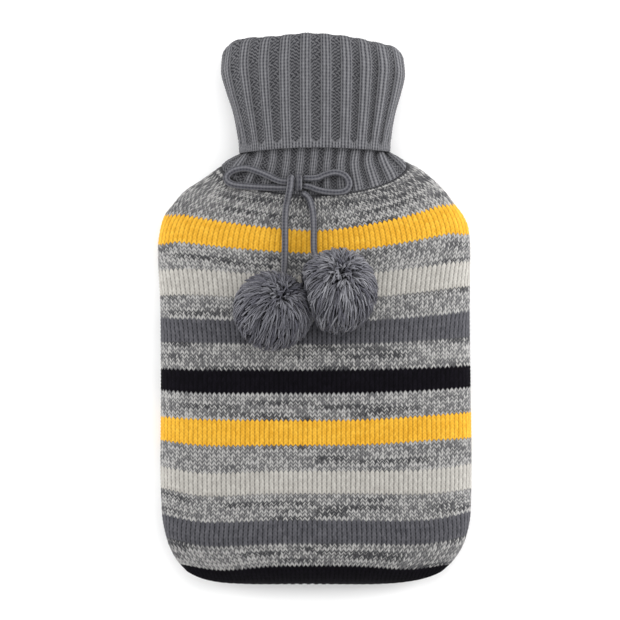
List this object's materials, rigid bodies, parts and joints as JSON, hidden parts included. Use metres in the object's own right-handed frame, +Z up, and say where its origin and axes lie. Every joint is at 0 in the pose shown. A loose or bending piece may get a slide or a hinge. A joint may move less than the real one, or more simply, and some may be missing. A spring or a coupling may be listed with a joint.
{
  "type": "hot water bottle cover",
  "caption": "Striped knitted bottle cover lying on its back, with a ribbed roll-down collar, a drawn cord bow and pompoms.",
  "frame": {"origin": "under the middle of the cover, on the surface that its back lies on", "axes": "+Y along the cover towards its collar, +Z up out of its striped front, +X to the right as seen from the front"},
  "size_m": [0.2013, 0.352, 0.0819],
  "materials": {
    "striped_knit": "matte knitted wool-like yarn in stripes",
    "grey_rib": "matte ribbed knit",
    "cord": "matte knitted cord",
    "pompom_yarn": "matte cut yarn",
    "melange_yarn": "matte marled yarn, pale and dark grey",
    "yellow_yarn": "matte yarn",
    "pale_yarn": "matte yarn",
    "charcoal_yarn": "matte yarn",
    "black_yarn": "matte yarn"
  },
  "bodies": {
    "root": {"cover_body": "striped_knit", "rib_collar": "grey_rib", "bow_loop_left": "cord", "bow_loop_right": "cord", "bow_knot": "cord", "tail_left": "cord", "tail_right": "cord", "pompom_left": "pompom_yarn", "pompom_right": "pompom_yarn"}
  },
  "joints": []
}
